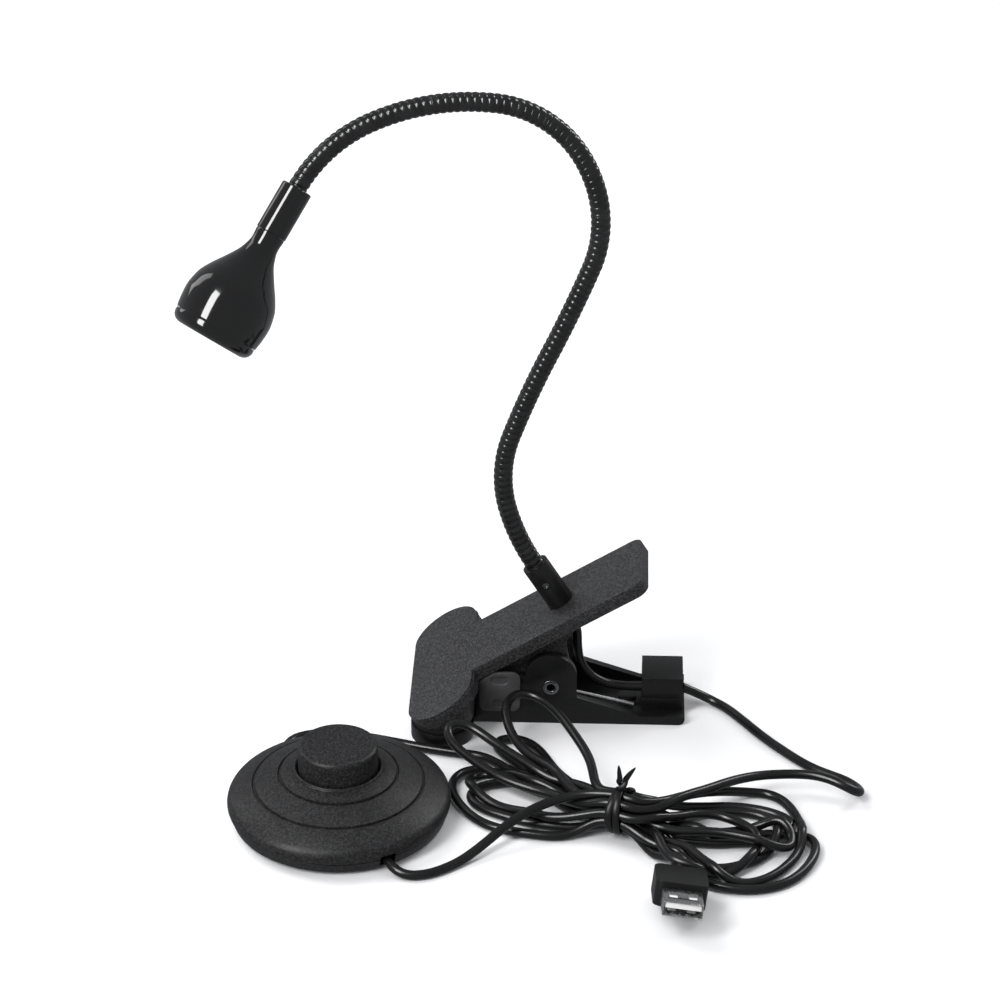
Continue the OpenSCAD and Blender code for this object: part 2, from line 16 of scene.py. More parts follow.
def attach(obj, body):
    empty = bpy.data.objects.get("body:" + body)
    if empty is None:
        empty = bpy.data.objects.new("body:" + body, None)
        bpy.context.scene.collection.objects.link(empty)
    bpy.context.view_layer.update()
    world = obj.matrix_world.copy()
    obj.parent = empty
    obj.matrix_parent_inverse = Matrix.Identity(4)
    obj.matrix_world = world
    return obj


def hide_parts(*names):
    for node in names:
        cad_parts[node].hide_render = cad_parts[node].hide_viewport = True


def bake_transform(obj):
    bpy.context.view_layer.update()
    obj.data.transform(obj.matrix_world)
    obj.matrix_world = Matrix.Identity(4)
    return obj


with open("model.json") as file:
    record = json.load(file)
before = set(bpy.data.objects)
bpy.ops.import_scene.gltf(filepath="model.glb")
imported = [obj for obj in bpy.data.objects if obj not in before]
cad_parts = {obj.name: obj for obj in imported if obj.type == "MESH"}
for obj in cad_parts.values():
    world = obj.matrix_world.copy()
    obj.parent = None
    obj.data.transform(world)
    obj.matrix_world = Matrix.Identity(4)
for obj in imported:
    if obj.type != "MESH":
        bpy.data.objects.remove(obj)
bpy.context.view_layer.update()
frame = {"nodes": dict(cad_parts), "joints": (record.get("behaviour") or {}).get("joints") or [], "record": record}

record = frame["record"]
BODY_OF = {n: b for b, nodes in record["behaviour"]["bodies"].items() for n in nodes}
SLOT_OF = {part["node"]: part["material_slot"] for part in record["subparts"]}
JOINT_AT = {j["name"]: Vector(j["pos_m"]) for j in frame["joints"] if "pos_m" in j}


def mm(*values):
    """Millimetres as metres: one number, or a vector for three."""
    scaled = [v / 1000 for v in values]
    return scaled[0] if len(scaled) == 1 else Vector(scaled)


def metres(points):
    return [mm(*p) for p in points]


# ---------------------------------------------------------------- camera and light

CAMERA_AT = mm(18.15, -1006.98, 634)
CAMERA_TURN = (math.radians(61), 0, math.radians(2))
CAMERA_LENS = 129.6
CAMERA_NEAREST = mm(50)

LIT_SPOT = mm(0, -20, 80)
SKY_COLOUR = (0.95, 0.97, 1, 1)
SKY_STRENGTH = 0.24
# Name, place, width and height in metres, watts, and whether glossy parts show the light
SOFTBOXES = [
    ("strip_light", (-0.72, -0.74, 0.92), 0.36, 1.0, 13, True),
    ("back_light", (-0.8, 0.5, 1.0), 0.8, 0.8, 12, False),
    ("sheen_light", (-0.95, 0.6, 0.75), 0.3, 0.9, 1.2, True),
    ("side_light", (1.0, -0.3, 0.7), 0.5, 0.8, 2.5, False),
    ("rim_light", (0.85, 0.75, 0.85), 0.25, 0.9, 5, True),
    ("top_light", (0.0, -0.1, 1.5), 1.2, 1.2, 4.5, False),
]


def add_camera():
    data = bpy.data.cameras.new("camera")
    data.lens = CAMERA_LENS
    data.clip_start = CAMERA_NEAREST
    camera = bpy.data.objects.new("camera", data)
    camera.location = CAMERA_AT
    camera.rotation_euler = CAMERA_TURN
    bpy.context.scene.collection.objects.link(camera)
    bpy.context.scene.camera = camera


def add_softbox(name, place, width, height, watts, mirrored):
    """A rectangular light aimed at the lamp."""
    data = bpy.data.lights.new(name, "AREA")
    data.shape = "RECTANGLE"
    data.size, data.size_y = width, height
    data.energy = watts
    light = bpy.data.objects.new(name, data)
    light.location = place
    light.rotation_euler = (LIT_SPOT - Vector(place)).to_track_quat("-Z", "Y").to_euler()
    light.visible_glossy = mirrored
    bpy.context.scene.collection.objects.link(light)


def add_studio():
    for softbox in SOFTBOXES:
        add_softbox(*softbox)
    world = bpy.data.worlds.new("studio")
    world.use_nodes = True
    background = world.node_tree.nodes["Background"]
    background.inputs["Color"].default_value = SKY_COLOUR
    background.inputs["Strength"].default_value = SKY_STRENGTH
    bpy.context.scene.world = world
    bpy.context.scene.view_settings.view_transform = "Standard"


# ---------------------------------------------------------------- materials

# Most of a noise texture's values lie in this span
NOISE_SPAN = (0.3, 0.7)


class Shader:
    """A principled material with a few procedural layers on the object's own coordinates."""

    def __init__(self, name, colour, roughness, **inputs):
        self.material = bpy.data.materials.new(name)
        self.material.use_nodes = True
        self.tree = self.material.node_tree
        self.surface = self.tree.nodes["Principled BSDF"]
        self.coords = self.node("ShaderNodeTexCoord").outputs["Object"]
        self.set("Base Color", (*colour, 1))
        self.set("Roughness", roughness)
        for key, value in inputs.items():
            self.set(key.replace("_", " "), value)
        self.normal = None

    def node(self, kind):
        return self.tree.nodes.new(kind)

    def link(self, output, target):
        self.tree.links.new(output, target)

    def set(self, key, value):
        self.surface.inputs[key].default_value = value

    def noise(self, size, detail=2.0, stretch=(1, 1, 1), distortion=0.0):
        """Noise whose grains are about size metres across."""
        mapping = self.node("ShaderNodeMapping")
        mapping.inputs["Scale"].default_value = stretch
        texture = self.node("ShaderNodeTexNoise")
        texture.inputs["Scale"].default_value = 1 / size
        texture.inputs["Detail"].default_value = detail
        texture.inputs["Distortion"].default_value = distortion
        self.link(self.coords, mapping.inputs["Vector"])
        self.link(mapping.outputs["Vector"], texture.inputs["Vector"])
        return texture.outputs["Fac"]

    def tint(self, factor, stops):
        """Base colour from a ramp of (place, colour) stops."""
        node = self.node("ShaderNodeValToRGB")
        ramp = node.color_ramp
        while len(ramp.elements) < len(stops):
            ramp.elements.new(0.5)
        for element, (place, colour) in zip(ramp.elements, stops):
            element.position = place
            element.color = (*colour, 1)
        self.link(factor, node.inputs["Fac"])
        self.link(node.outputs["Color"], self.surface.inputs["Base Color"])

    def vary(self, key, factor, low, high):
        """A shader input that runs from low to high with the factor."""
        spread = self.node("ShaderNodeMapRange")
        spread.inputs["From Min"].default_value, spread.inputs["From Max"].default_value = NOISE_SPAN
        spread.inputs["To Min"].default_value = low
        spread.inputs["To Max"].default_value = high
        self.link(factor, spread.inputs["Value"])
        self.link(spread.outputs["Result"], self.surface.inputs[key])

    def bump(self, height, depth, strength=1.0):
        """Relief of about depth metres; further calls add to it."""
        node = self.node("ShaderNodeBump")
        node.inputs["Strength"].default_value = strength
        node.inputs["Distance"].default_value = depth
        self.link(height, node.inputs["Height"])
        if self.normal:
            self.link(self.normal, node.inputs["Normal"])
        self.normal = node.outputs["Normal"]
        self.link(self.normal, self.surface.inputs["Normal"])


def grey(value, blue=1.05):
    """A grey that is slightly blue, as black plastic is in daylight."""
    return (value, value, value * blue)


def moulded_plastic(name, dark, light, grain, depth, roughness):
    """Spark-eroded plastic: a fine leathery grain whose raised tops are painted lighter, a painted highlight where
    they catch the light.
    """
    s = Shader(name, grey(dark), roughness, IOR=1.45)
    fine = s.noise(mm(grain), 3, distortion=0.6)
    # Painted highlight: the same noise as the bump paints the grain's raised tops lighter than its hollows
    s.tint(fine, [(0.43, grey(dark)), (0.66, grey(light))])
    s.vary("Roughness", s.noise(mm(9), 3), roughness - 0.04, roughness + 0.06)
    s.bump(fine, mm(depth))
    s.bump(s.noise(mm(grain * 3.5), 2), mm(depth), 0.4)
    return s.material


def smooth_plastic(name, colour, roughness, wave=0.01):
    """Polished mould: a faint flow waviness, dust and hairline rubs."""
    s = Shader(name, colour, roughness, IOR=1.47)
    s.vary("Roughness", s.noise(mm(6), 3), roughness * 0.85, roughness * 1.25)
    s.bump(s.noise(mm(14), 1), mm(wave), 0.4)
    s.bump(s.noise(mm(0.6), 2), mm(0.001), 0.2)
    return s.material


def piano_black():
    """Lacquered black under a clear coat, with the finest of polishing marks."""
    s = Shader("piano_black", grey(0.003), 0.09, Coat_Weight=1.0, Coat_Roughness=0.025, IOR=1.48)
    s.vary("Roughness", s.noise(mm(5), 5), 0.07, 0.13)
    s.bump(s.noise(mm(0.3), 2), mm(0.0004), 0.2)
    return s.material


def sleeve_metal():
    """Black lacquered steel wire: glossy crests, dull roots, light rubbing."""
    s = Shader("sleeve_metal", grey(0.006), 0.24, Coat_Weight=0.6, Coat_Roughness=0.1)
    s.tint(s.noise(mm(5), 3), [(0.4, grey(0.004)), (0.72, grey(0.012))])
    s.vary("Roughness", s.noise(mm(3), 2), 0.2, 0.32)
    s.bump(s.noise(mm(0.3), 2), mm(0.002), 0.3)
    return s.material


def cord_jacket():
    """Soft PVC: semi-gloss and almost smooth, with slight changes along its length."""
    s = Shader("cord_jacket", grey(0.006), 0.27, Coat_Weight=0.25, Coat_Roughness=0.2, IOR=1.48)
    s.tint(s.noise(mm(18), 3), [(0.35, grey(0.004)), (0.7, grey(0.009))])
    s.vary("Roughness", s.noise(mm(9), 2), 0.24, 0.3)
    s.bump(s.noise(mm(0.5), 2), mm(0.0006), 0.2)
    return s.material


def rubber(name, dark, light, roughness):
    """Matt rubber, clouded and slightly warm, with a fine tooth."""
    s = Shader(name, grey(dark), roughness)
    warm_dark = (dark, dark * 0.97, dark * 1.02)
    warm_light = (light, light * 0.96, light)
    s.tint(s.noise(mm(2.5), 5), [(0.35, warm_dark), (0.68, warm_light)])
    s.vary("Roughness", s.noise(mm(3), 3), roughness - 0.07, roughness + 0.07)
    s.bump(s.noise(mm(0.3), 3), mm(0.02), 0.5)
    return s.material


def drawn_steel(name, stretch, roughness=0.34, shade=0.75):
    """Bright steel with fine drawing lines."""
    s = Shader(name, grey(shade, 1.02), roughness, Metallic=1.0)
    lines = s.noise(mm(0.8), 3, stretch=stretch)
    s.tint(lines, [(0.3, grey(shade * 0.85, 1.02)), (0.62, grey(shade * 1.06, 1.0))])
    s.vary("Roughness", lines, roughness - 0.04, roughness + 0.06)
    s.bump(lines, mm(0.001), 0.4)
    return s.material


def clear_window():
    """Moulded acrylic with a slight swell in its face."""
    s = Shader("clear_window", (0.9, 0.93, 1), 0.04, IOR=1.49)
    s.set("Transmission Weight", 1.0)
    s.vary("Roughness", s.noise(mm(3), 3), 0.02, 0.08)
    s.bump(s.noise(mm(4), 2), mm(0.01), 0.2)
    return s.material


def emitter_gel():
    """The soft gel over an ultraviolet emitter."""
    s = Shader("emitter_gel", (0.72, 0.66, 0.2), 0.18, IOR=1.45)
    s.tint(s.noise(mm(0.6), 3), [(0.3, (0.55, 0.5, 0.72)), (0.7, (0.8, 0.76, 0.9))])
    s.vary("Roughness", s.noise(mm(0.5), 2), 0.1, 0.25)
    s.bump(s.noise(mm(0.2), 2), mm(0.004), 0.5)
    return s.material


def make_materials():
    """The record's slots, and after them a few finishes for single parts."""
    return {
        "clip_plastic": moulded_plastic("grained_black", 0.012, 0.058, 0.62, 0.06, 0.42),
        "pad_rubber": rubber("black_rubber", 0.008, 0.014, 0.65),
        "grip_rubber": rubber("grey_rubber", 0.05, 0.066, 0.5),
        "steel": drawn_steel("drawn_steel", (1, 1, 1)),
        "neck_metal": sleeve_metal(),
        "head_gloss": piano_black(),
        "lens": clear_window(),
        "board": smooth_plastic("white_board", (0.8, 0.82, 0.82), 0.4),
        "emitter": emitter_gel(),
        "aluminium": drawn_steel("turned_aluminium", (1, 6, 1), 0.32, 0.72),
        "cord_jacket": cord_jacket(),
        "tie_plastic": smooth_plastic("tie_plastic", grey(0.006), 0.34),
        "plug_plastic": moulded_plastic("plug_black", 0.005, 0.01, 0.3, 0.006, 0.34),
        "white_plastic": smooth_plastic("white_plastic", (0.82, 0.82, 0.8), 0.35),
        "contact_metal": drawn_steel("gold_contact", (1, 5, 1), 0.25, 0.7),
        "switch_plastic": moulded_plastic("switch_black", 0.006, 0.03, 0.6, 0.07, 0.44),
        "mechanism_plastic": smooth_plastic("red_brown_plastic", (0.22, 0.035, 0.025), 0.35),
        "smooth_black": smooth_plastic("smooth_black", grey(0.007), 0.3),
        # A darker copy of the drawn steel: partly the pin's and screw's own dark finish, partly painted shade of
        # the holes they sit in
        "dark_steel_painted_shade": drawn_steel("dark_steel_painted_shade", (1, 1, 1), 0.26, 0.3),
        "plug_steel": drawn_steel("plug_steel", (4, 1, 1), 0.24, 0.66),
    }


# ---------------------------------------------------------------- mesh helpers

# Edges over these angles, in degrees, stay hard
TUBE_SHARP = 50
LATHE_SHARP = 28
CAD_SHARP = 40
STRIP_SHARP = 60
# On a CAD node's copy, faces within FLAT_UNDER degrees join, and edges over BEVEL_OVER are rounded
FLAT_UNDER = 0.6
BEVEL_OVER = 24


def add_mesh(name, verts, faces, sharp=32):
    """A new mesh object, shaded smooth with edges over sharp degrees kept hard."""
    mesh = bpy.data.meshes.new(name)
    mesh.from_pydata([tuple(v) for v in verts], [], faces)
    return dress(bpy.data.objects.new(name, mesh), sharp)


def dress(piece, sharp=32):
    """Turns a piece's faces outwards, sets its shading and links it."""
    mesh = piece.data
    bm = bmesh.new()
    bm.from_mesh(mesh)
    bmesh.ops.recalc_face_normals(bm, faces=bm.faces)
    bm.to_mesh(mesh)
    bm.free()
    mesh.shade_smooth()
    mesh.set_sharp_from_angle(angle=math.radians(sharp))
    if piece.name not in bpy.context.scene.collection.objects:
        bpy.context.scene.collection.objects.link(piece)
    return piece


def ring_faces(rings, around, caps, closed=False):
    """Quads between rings that follow each other, with a face at each end."""
    faces = []
    last = rings if closed else rings - 1
    for i in range(last):
        j = (i + 1) % rings
        for k in range(around):
            n = (k + 1) % around
            faces.append((i * around + k, i * around + n, j * around + n, j * around + k))
    if caps:
        faces.append(tuple(range(around - 1, -1, -1)))
        faces.append(tuple((rings - 1) * around + k for k in range(around)))
    return faces


def tube(name, frames, radius, around):
    """A skin round a list of frames whose own X runs along the path.

    radius is a number, or a function of the frame's index and the angle round it.
    """
    verts = []
    for i, place in enumerate(frames):
        for k in range(around):
            a = math.tau * k / around
            r = radius(i, a) if callable(radius) else radius
            verts.append(place @ Vector((0, r * math.cos(a), r * math.sin(a))))
    return add_mesh(name, verts, ring_faces(len(frames), around, True), TUBE_SHARP)


def lathe(name, outline, place, around):
    """Turns a closed outline of (radius, height) in millimetres about a frame's Z."""
    verts = []
    for r, z in outline:
        for k in range(around):
            a = math.tau * k / around
            verts.append(place @ mm(r * math.cos(a), r * math.sin(a), z))
    faces = ring_faces(len(outline), around, False, closed=True)
    return weld(add_mesh(name, verts, faces, LATHE_SHARP))


def weld(piece):
    """Joins the points of a turned piece that share a place, as at its poles."""
    bm = bmesh.new()
    bm.from_mesh(piece.data)
    bmesh.ops.remove_doubles(bm, verts=bm.verts, dist=mm(0.001))
    bmesh.ops.recalc_face_normals(bm, faces=bm.faces)
    bm.to_mesh(piece.data)
    bm.free()
    piece.data.set_sharp_from_angle(angle=math.radians(LATHE_SHARP))
    return piece


def arc(centre, r, start, end, n=6):
    """Points on a round corner, in (radius, height)."""
    angles = [math.radians(start + (end - start) * i / n) for i in range(n + 1)]
    return [(centre[0] + r * math.cos(a), centre[1] + r * math.sin(a)) for a in angles]


def spline(points, steps):
    """A smooth curve through points of any dimension, steps to each span."""
    p = [np.array(q, float) for q in points]
    p = [2 * p[0] - p[1], *p, 2 * p[-1] - p[-2]]
    out = []
    for a, b, c, d in zip(p, p[1:], p[2:], p[3:]):
        for t in np.arange(steps) / steps:
            out.append(0.5 * (2 * b + (c - a) * t + (2 * a - 5 * b + 4 * c - d) * t * t
                              + (3 * b - a - 3 * c + d) * t ** 3))
    return out + [p[-2]]


def travelled(points):
    """The distance along a path at each of its points."""
    steps = np.diff(np.array(points, float), axis=0)
    return np.concatenate([[0], np.cumsum(np.linalg.norm(steps, axis=1))])


def even(points, spacing):
    """The same path with evenly spaced points."""
    p = np.array([list(q) for q in points], float)
    along = travelled(p)
    count = max(2, round(along[-1] / spacing) + 1)
    where = np.linspace(0, along[-1], count)
    return np.stack([np.interp(where, along, p[:, i]) for i in range(3)], 1)


def path_frames(points):
    """Frames along a path that turn no more than they must; X points along it."""
    p = [Vector(q) for q in points]
    frames, side = [], None
    for i, here in enumerate(p):
        ahead = (p[min(i + 1, len(p) - 1)] - p[max(i - 1, 0)]).normalized()
        if side is None:
            side = ahead.orthogonal().normalized()
        side = (side - ahead * side.dot(ahead)).normalized()
        up = ahead.cross(side)
        frames.append(Matrix((ahead, side, up)).transposed().to_4x4())
        frames[-1].translation = here
    return frames


def copy_of(node):
    """A new object with a copy of a CAD node's mesh."""
    return bpy.data.objects.new(node + "_shaped", frame["nodes"][node].data.copy())


def rounded_copy(node, width, segments):
    """A CAD node's mesh with its flat faces joined and its edges rounded, width in millimetres."""
    piece = copy_of(node)
    mesh = piece.data
    bm = bmesh.new()
    bm.from_mesh(mesh)
    bmesh.ops.remove_doubles(bm, verts=bm.verts, dist=mm(0.002))
    bmesh.ops.dissolve_limit(bm, angle_limit=math.radians(FLAT_UNDER), verts=bm.verts, edges=bm.edges)
    bm.to_mesh(mesh)
    bm.free()
    bpy.context.scene.collection.objects.link(piece)
    bevel = piece.modifiers.new("edges", "BEVEL")
    bevel.width = mm(width)
    bevel.segments = segments
    bevel.limit_method = "ANGLE"
    bevel.angle_limit = math.radians(BEVEL_OVER)
    bevel.use_clamp_overlap = True
    bevel.miter_outer = "MITER_ARC"
    bake_modifiers(piece)
    piece.data.shade_smooth()
    piece.data.set_sharp_from_angle(angle=math.radians(CAD_SHARP))
    return piece


def bake_modifiers(piece):
    """Puts what the modifiers make into the piece's own mesh."""
    bpy.context.view_layer.update()
    shown = piece.evaluated_get(bpy.context.evaluated_depsgraph_get())
    mesh = bpy.data.meshes.new_from_object(shown)
    piece.modifiers.clear()
    piece.data = mesh


def cut(piece, cutters):
    """Takes the cutters' shapes out of a piece and removes them."""
    for cutter in cutters:
        knife = piece.modifiers.new("cut", "BOOLEAN")
        knife.operation = "DIFFERENCE"
        knife.solver = "EXACT"
        knife.object = cutter
    bake_modifiers(piece)
    for cutter in cutters:
        bpy.data.objects.remove(cutter)
    return dress(piece, LATHE_SHARP)


def block(name, size, place):
    """A box to cut with, centred on a frame."""
    corners = [Vector((x * size[0] / 2, y * size[1] / 2, z * size[2] / 2))
               for x in (-1, 1) for y in (-1, 1) for z in (-1, 1)]
    faces = [(0, 1, 3, 2), (4, 6, 7, 5), (0, 4, 5, 1), (2, 3, 7, 6), (0, 2, 6, 4), (1, 5, 7, 3)]
    return add_mesh(name, [place @ c for c in corners], faces)


def finish_as(piece, node, material=None, ride=True):
    """A piece stands for a CAD node: its body and slot come from the record.

    So does its finish, unless a material is given.
    """
    piece.data.materials.clear()
    piece.data.materials.append(material or MATERIALS[SLOT_OF[node]])
    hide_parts(node)
    if ride:
        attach(piece, BODY_OF[node])
    return piece


# ---------------------------------------------------------------- cord and hank

CORD_D = mm(3)
# A route is smoothed to SPANS steps between its points, and then spaced evenly by STEP
SPANS = 12
STEP = mm(2)

# Settling: how the cords sink, stiffen, and keep a gap between them, each round
ROUNDS = 240
CALM_ROUNDS = 40
SINK = mm(0.03)
PULL = 0.5
STIFFNESS = 3
OPENING = 0.01
SPREADING = 0.3
GAP = CORD_D * 1.01
# Pairs of points closer than NEAR are looked for every LOOK_EVERY rounds; points of one cord
# within SAME_STRETCH of each other are never a pair
NEAR = CORD_D * 1.6
LOOK_EVERY = 6
SAME_STRETCH = 5

INNER_LEAD = metres([
    (6.3, 0, 32.8), (7.4, 0, 30.5), (8.2, 0, 26.5), (8.4, 0, 21.5), (9, 0, 17), (10.8, 0, 12.8),
    (14, 0, 9.4), (18.6, 0, 7.2), (24, 0, 6.4), (29.6, 0, 6.3), (43, 0, 6.3),
])
LAMP_LEAD = metres([
    (43, 0, 6.3), (46, 0.4, 5.4), (50, 0.6, 3.3), (55, -2, 1.7), (61.5, -10.5, 1.6),
    (69.5, -22.5, 1.6), (77.5, -32.5, 1.6), (84, -39.5, 1.6), (90, -43.8, 1.6), (94.5, -46.5, 1.6),
    (97.8, -49.8, 1.8), (98.7, -54, 3), (98, -58, 5), (95, -58.8, 7), (91, -56, 7.9), (86, -53.2, 8),
    (79.8, -51.8, 7.6), (67.4, -52, 7.1), (57.1, -58.9, 9), (49.1, -66.3, 10.5), (40.8, -73.7, 12.5),
])
FRONT_LEAD = metres([
    (-50.3, -94.5, 3.9), (-47.2, -99.8, 3.9), (-45.2, -102.4, 2.6), (-41, -103.8, 1.6),
    (-34.8, -102.4, 1.6), (-27.2, -96.8, 2), (-19.5, -89.7, 4), (-12, -82.5, 7), (-4, -77, 9.5),
    (6.5, -73, 11.5), (18, -73, 12),
])
REAR_LEAD = metres([
    (-79.7, -43.5, 3.9), (-82.8, -38.2, 3.9), (-85, -33, 2.2), (-82.5, -27.5, 1.6),
    (-75, -24.8, 1.6), (-66, -25, 1.6), (-57, -27, 1.6), (-48.5, -29.5, 1.6),
    (-40, -32.2, 1.6), (-32.5, -34, 1.6), (-25.5, -36, 1.6), (-18, -39, 1.6),
])
PLUG_LEAD = metres([(40.6, -98.3, 2.6), (40.5, -95.5, 1.9), (40.2, -91.5, 1.6), (39.5, -87, 1.7)])
LOOP_HIGH = metres([
    (19, -71.5, 11), (14, -64, 10.5), (13, -50, 10.8), (7, -34.5, 11.5), (1, -24, 13),
    (-4.5, -18.8, 14), (-10, -17.2, 14.5), (-13.8, -21.8, 14.2), (-14, -29, 13), (-11.5, -38, 11),
    (-6.5, -46, 9.6), (1, -54, 9), (9, -65, 7.8), (18, -74, 6.5),
])
LOOP_LOW = metres([
    (18, -70, 8), (9.5, -60, 7.6), (1, -56, 8.2), (-5, -51.5, 8.6), (-16, -42.5, 10.2),
    (-24.5, -36, 12.6), (-28.5, -34.8, 14), (-31.5, -35.3, 14.3), (-33, -38, 13.4),
    (-32, -41.2, 12), (-29, -44.6, 10.5), (-21, -52, 8.6), (-12.5, -58.5, 7.6), (0.5, -65, 7.4),
    (16, -77, 7.6),
])

# The flat loops of the hank, each from its rear or upper strand round to its front one
LEFT_BACK = metres([
    (5, -53, 7), (-2, -34, 4), (-8, -26, 3), (-13, -25, 3), (-18, -26, 3), (-18, -32, 3),
    (-14, -35, 2), (-4, -48, 3), (5, -58, 5),
])
LEFT_OUTER = metres([
    (5, -60, 6), (-12, -50, 4), (-22, -43, 2), (-29, -47, 2), (-31, -54, 2), (-28, -63, 2),
    (-24, -70, 2), (-17, -77, 2), (-7, -79, 2), (6, -82, 4),
])
LEFT_MIDDLE = metres([
    (5, -65, 8), (-8, -55, 6), (-21, -48, 5), (-26, -51, 5), (-25, -57, 5), (-20, -63, 5),
    (-11, -68, 5), (1, -76, 8), (12, -77, 8),
])
LEFT_INNER = metres([
    (5, -57, 4), (-10, -50, 2), (-20, -53, 2), (-25, -57, 2), (-25, -62, 2), (-20, -67, 2),
    (-10, -71, 2), (6, -77, 5),
])
RIGHT_BACK = metres([
    (37, -69.3, 12.5), (45.1, -65.2, 11), (53.3, -60.4, 8.5), (61.1, -55.3, 5.5), (69, -54, 3),
    (76, -61, 2), (79, -78, 4), (76, -91, 3), (70, -100, 3), (62, -105, 4), (53, -103, 5),
    (43, -93, 6),
])
RIGHT_MIDDLE = metres([
    (36, -70, 8), (48, -64, 5), (66, -65, 3), (73, -67, 2), (76, -74, 2), (75, -77, 2),
    (68, -79, 2), (50, -83, 2), (36, -80, 4),
])
RIGHT_TOP = metres([
    (36, -77, 10), (49, -71, 8), (58, -74, 7), (64, -80, 7), (67, -85, 6), (63, -93, 4),
    (55, -100, 4), (48, -102, 4), (38, -95, 4),
])
RIGHT_INNER = metres([
    (41, -83.5, 9), (53, -83.5, 9.5), (64, -87.5, 9), (71, -90, 8), (76.5, -88, 6),
    (77.5, -82, 3.5), (73, -77.2, 2), (64, -76.5, 1.6), (50, -78.8, 1.6), (40, -79, 3),
])
RIGHT_OUTER = metres([
    (50, -81, 2), (63, -79, 2), (75, -77, 2), (80, -77, 2), (84, -83, 2), (82, -91, 2),
    (75, -103, 2), (62, -108, 2), (50, -104, 2), (39, -95, 3),
])
RIGHT_UNDER = metres([
    (40, -72, 5), (51, -65, 2), (63, -65, 2), (72, -70, 2), (73, -77, 2), (68, -88, 2),
    (62, -95, 2), (54, -98, 2), (43, -93, 3),
])

# How firmly a point of a route keeps its place while the cords settle
TIGHT, FIRM, SLACK = 0.5, 0.12, 0.02

# The strands inside the tie lie in two rings, each strand about a diameter from the next
WAIST_AT = mm(23, -75.5, 8)
WAIST_TURN = math.radians(-20)
WAIST_CLEAR = mm(16)
WAIST_POINTS = ((8, SLACK), (2.5, TIGHT), (-2.5, TIGHT), (-8, SLACK))
OUTER_RING = 10
OUTER_R = mm(5.15)
INNER_RING = 4
INNER_R = mm(2.19)

# The strands that each cord takes through the tie, in order; 0 to 9 are the outer ring
LAMP_STRANDS = [3, 0, 5, 8, 6, 7, 2]
SUPPLY_STRANDS = [12, 4, 11, 9, 13, 1, 10]


def in_waist(strand, along):
    """A point of one of the strands inside the tie, a distance along it from the middle."""
    if strand < OUTER_RING:
        angle, r = math.tau * (strand + 0.5) / OUTER_RING, OUTER_R
    else:
        angle, r = math.tau * (strand - OUTER_RING + 0.5) / INNER_RING, INNER_R
    turn = Matrix.Rotation(WAIST_TURN, 3, "Z")
    return WAIST_AT + turn @ Vector((along, r * math.cos(angle), r * math.sin(angle)))


def thread(pieces, strands, side):
    """One cord: its pieces joined by straight passes through the tie.

    side is +1 when the first piece lies right of the tie, and -1 left of it.
    Returns the path and, for each point, how firmly it keeps its place.
    """
    points, hold = [], []
    for n, (piece, grip) in enumerate(pieces):
        free = [p for p in piece if (p - WAIST_AT).length > WAIST_CLEAR]
        points += free
        hold += [grip] * len(free)
        if n < len(strands):
            points += [in_waist(strands[n], side * mm(x)) for x, _ in WAIST_POINTS]
            hold += [held for _, held in WAIST_POINTS]
            side = -side
    smooth = np.array(spline([(*p, h) for p, h in zip(points, hold)], SPANS))
    path = even(smooth[:, :3], STEP)
    along = travelled(smooth[:, :3])
    grip = np.interp(np.linspace(0, along[-1], len(path)), along, smooth[:, 3])
    return path, np.clip(grip, SLACK, TIGHT)


def straighten(p, ends):
    """One step of bending stiffness: kinks open and spread to their neighbours."""
    curve = (np.roll(p, 1, 0) + np.roll(p, -1, 0)) / 2 - p
    curve[ends] = 0
    uneven = curve - (np.roll(curve, 1, 0) + np.roll(curve, -1, 0)) / 2
    p[~ends] += (OPENING * curve + SPREADING * uneven)[~ends]


def settle(cords):
    """Lets the cords sink on the table and on each other, and pushes them apart."""
    home = np.vstack([path for path, _ in cords])
    hold = np.concatenate([grip for _, grip in cords])[:, None]
    rope = np.concatenate([[i] * len(path) for i, (path, _) in enumerate(cords)])
    index = np.arange(len(home))
    p = home.copy()
    ends = (index == 0) | (np.roll(rope, 1) != rope) | (np.roll(rope, -1) != rope)
    for turn in range(ROUNDS):
        if turn % LOOK_EVERY == 0:
            far = np.linalg.norm(p[:, None] - p[None], axis=2)
            near = (far < NEAR) & (index[:, None] < index[None])
            near &= (rope[:, None] != rope[None]) | (index[None] - index[:, None] > SAME_STRETCH)
            a, b = np.nonzero(near)
        for _ in range(STIFFNESS):
            straighten(p, ends)
        p[:, 2] -= SINK * (1 - hold[:, 0] / TIGHT)
        p += hold * (home - p) * (PULL if turn < ROUNDS - CALM_ROUNDS else PULL / 2)
        apart = p[a] - p[b]
        far = np.linalg.norm(apart, axis=1, keepdims=True) + 1e-9
        push = np.clip(GAP - far, 0, None) / far * apart * 0.5
        np.add.at(p, a, push)
        np.add.at(p, b, -push)
        p[:, 2] = np.maximum(p[:, 2], CORD_D / 2)
        p[ends] = home[ends]
    return [p[rope == i] for i in range(len(cords))]


def add_cord(name, path):
    """A round cord along a path, lying on the base body."""
    data = bpy.data.curves.new(name, "CURVE")
    data.dimensions = "3D"
    data.bevel_depth = CORD_D / 2
    data.bevel_resolution = 5
    data.use_fill_caps = True
    line = spline(path, 2)
    stroke = data.splines.new("POLY")
    stroke.points.add(len(line) - 1)
    for point, place in zip(stroke.points, line):
        point.co = (*place, 1)
    stroke.use_smooth = True
    piece = bpy.data.objects.new(name, data)
    bpy.context.scene.collection.objects.link(piece)
    data.materials.append(MATERIALS["cord_jacket"])
    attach(piece, "base")
    return piece


